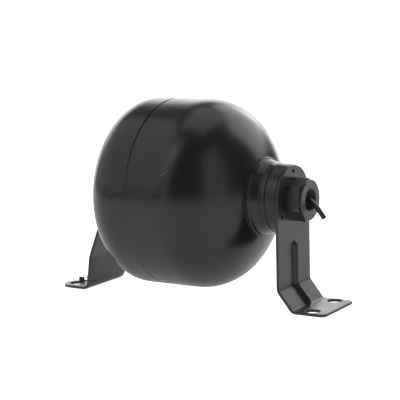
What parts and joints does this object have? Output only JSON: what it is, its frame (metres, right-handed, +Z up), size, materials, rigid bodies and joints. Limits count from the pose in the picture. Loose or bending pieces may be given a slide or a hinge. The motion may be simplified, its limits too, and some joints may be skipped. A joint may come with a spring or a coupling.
{
  "type": "hydraulic reservoir",
  "caption": "Small welded steel pressure reservoir lying on its side between two bent strap brackets, with one plugged fluid port.",
  "frame": {"origin": "on the ground the feet stand on, under the middle of the whole reservoir", "axes": "+X along the vessel's axis towards the fluid port, +Y across it, +Z up"},
  "size_m": [0.224, 0.136, 0.144],
  "materials": {
    "black_paint": "semi-gloss black dip coat on pressed steel",
    "black_weld": "the same black coat over weld metal",
    "black_fitting": "slightly grainy black coat on turned steel",
    "bare_steel": "turned, oiled",
    "spring_steel": "blackened spring strip",
    "diaphragm_rubber": "moulded",
    "seal_rubber": "moulded",
    "plug_plastic": "soft moulded black",
    "cap_plastic": "moulded black"
  },
  "bodies": {
    "vessel": {"front_shell": "black_paint", "rear_shell": "black_paint", "girth_weld": "black_weld", "clamp_ring": "bare_steel", "diaphragm": "diaphragm_rubber", "port_collar": "black_paint", "front_collar_weld": "black_weld", "front_spacer": "black_paint", "front_bracket": "black_paint", "front_plug_welds": "black_weld", "port_fitting": "black_fitting", "port_seal": "seal_rubber", "rear_collar": "black_paint", "rear_collar_weld": "black_weld", "rear_bracket": "black_paint", "rear_plug_welds": "black_weld", "charging_boss": "black_fitting", "foot_clip": "spring_steel"},
    "plug": {"port_plug": "plug_plastic", "pull_tail": "plug_plastic"},
    "button": {"diaphragm_button": "bare_steel"},
    "cap": {"charging_cap": "cap_plastic"},
    "screw": {"charging_screw": "bare_steel", "charging_seal": "seal_rubber"}
  },
  "joints": [
    {"name": "plug_pull", "type": "slide", "parent": "vessel", "child": "plug", "axis": [1, 0, 0], "range_m": [0, 0.045]},
    {"name": "button_stroke", "type": "slide", "parent": "vessel", "child": "button", "axis": [-1, 0, 0], "range_m": [0, 0.05], "stiffness_N_per_m": 200, "deforming": ["diaphragm"]},
    {"name": "cap_pull", "type": "slide", "parent": "vessel", "child": "cap", "axis": [-1, 0, 0], "range_m": [0, 0.03]},
    {"name": "screw_turn", "type": "hinge", "parent": "vessel", "child": "screw", "pos_m": [-0.081, 0, 0.076], "axis": [1, 0, 0], "range_deg": [0, 360]}
  ]
}
